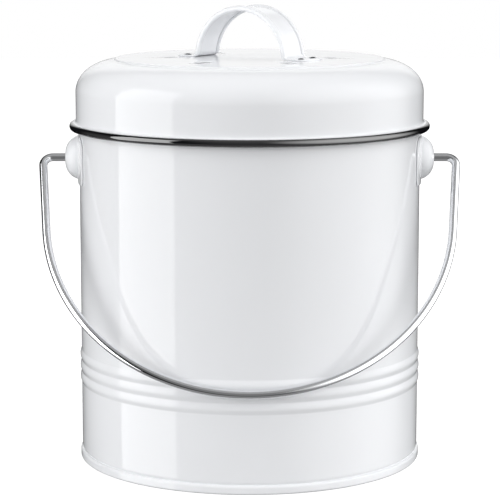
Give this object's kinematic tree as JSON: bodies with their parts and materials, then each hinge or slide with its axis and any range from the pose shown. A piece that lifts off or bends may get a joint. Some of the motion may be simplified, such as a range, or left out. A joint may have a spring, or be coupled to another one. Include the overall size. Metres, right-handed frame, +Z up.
{
  "type": "compost caddy",
  "caption": "Round enamelled steel compost caddy with a slip-over vented lid, strap handle on top, swinging wire bail, and a carbon filter held under the lid by a twist-off grille.",
  "frame": {"origin": "centre of the foot, on the surface that the caddy stands on", "axes": "+Z up, -Y towards the front, where the bail hangs; +X through the right-hand ear, along the bail's pivot axis"},
  "size_m": [0.2228, 0.1904, 0.2404],
  "materials": {
    "white_enamel": "gloss white enamel on sheet steel",
    "black_enamel": "gloss black enamel on the rolled edge",
    "bright_wire": "bright plated steel wire",
    "rivet_steel": "satin plated rivets",
    "white_plastic": "satin moulded plastic",
    "carbon_felt": "felt loaded with active carbon"
  },
  "bodies": {
    "bucket": {"bucket_wall": "white_enamel", "bucket_base": "white_enamel", "ear_left": "white_enamel", "ear_right": "white_enamel"},
    "bail": {"bail_handle": "bright_wire"},
    "lid": {"lid_shell": "white_enamel", "lid_rolled_edge": "black_enamel", "lid_handle": "white_enamel", "handle_rivets": "rivet_steel", "filter_clips": "white_enamel"},
    "filter": {"filter_cover": "white_plastic", "filter_pad": "carbon_felt"}
  },
  "joints": [
    {"name": "bail_swing", "type": "hinge", "parent": "bucket", "child": "bail", "pos_m": [0, 0, 0.16], "axis": [-1, 0, 0], "range_deg": [0, 278.3]},
    {"name": "lid_lift", "type": "slide", "parent": "bucket", "child": "lid", "axis": [0, 0, 1], "range_m": [0, 0.1]},
    {"name": "filter_twist", "type": "hinge", "parent": "lid", "child": "filter", "pos_m": [0, 0, 0.201], "axis": [0, 0, 1], "range_deg": [0, 25]}
  ]
}
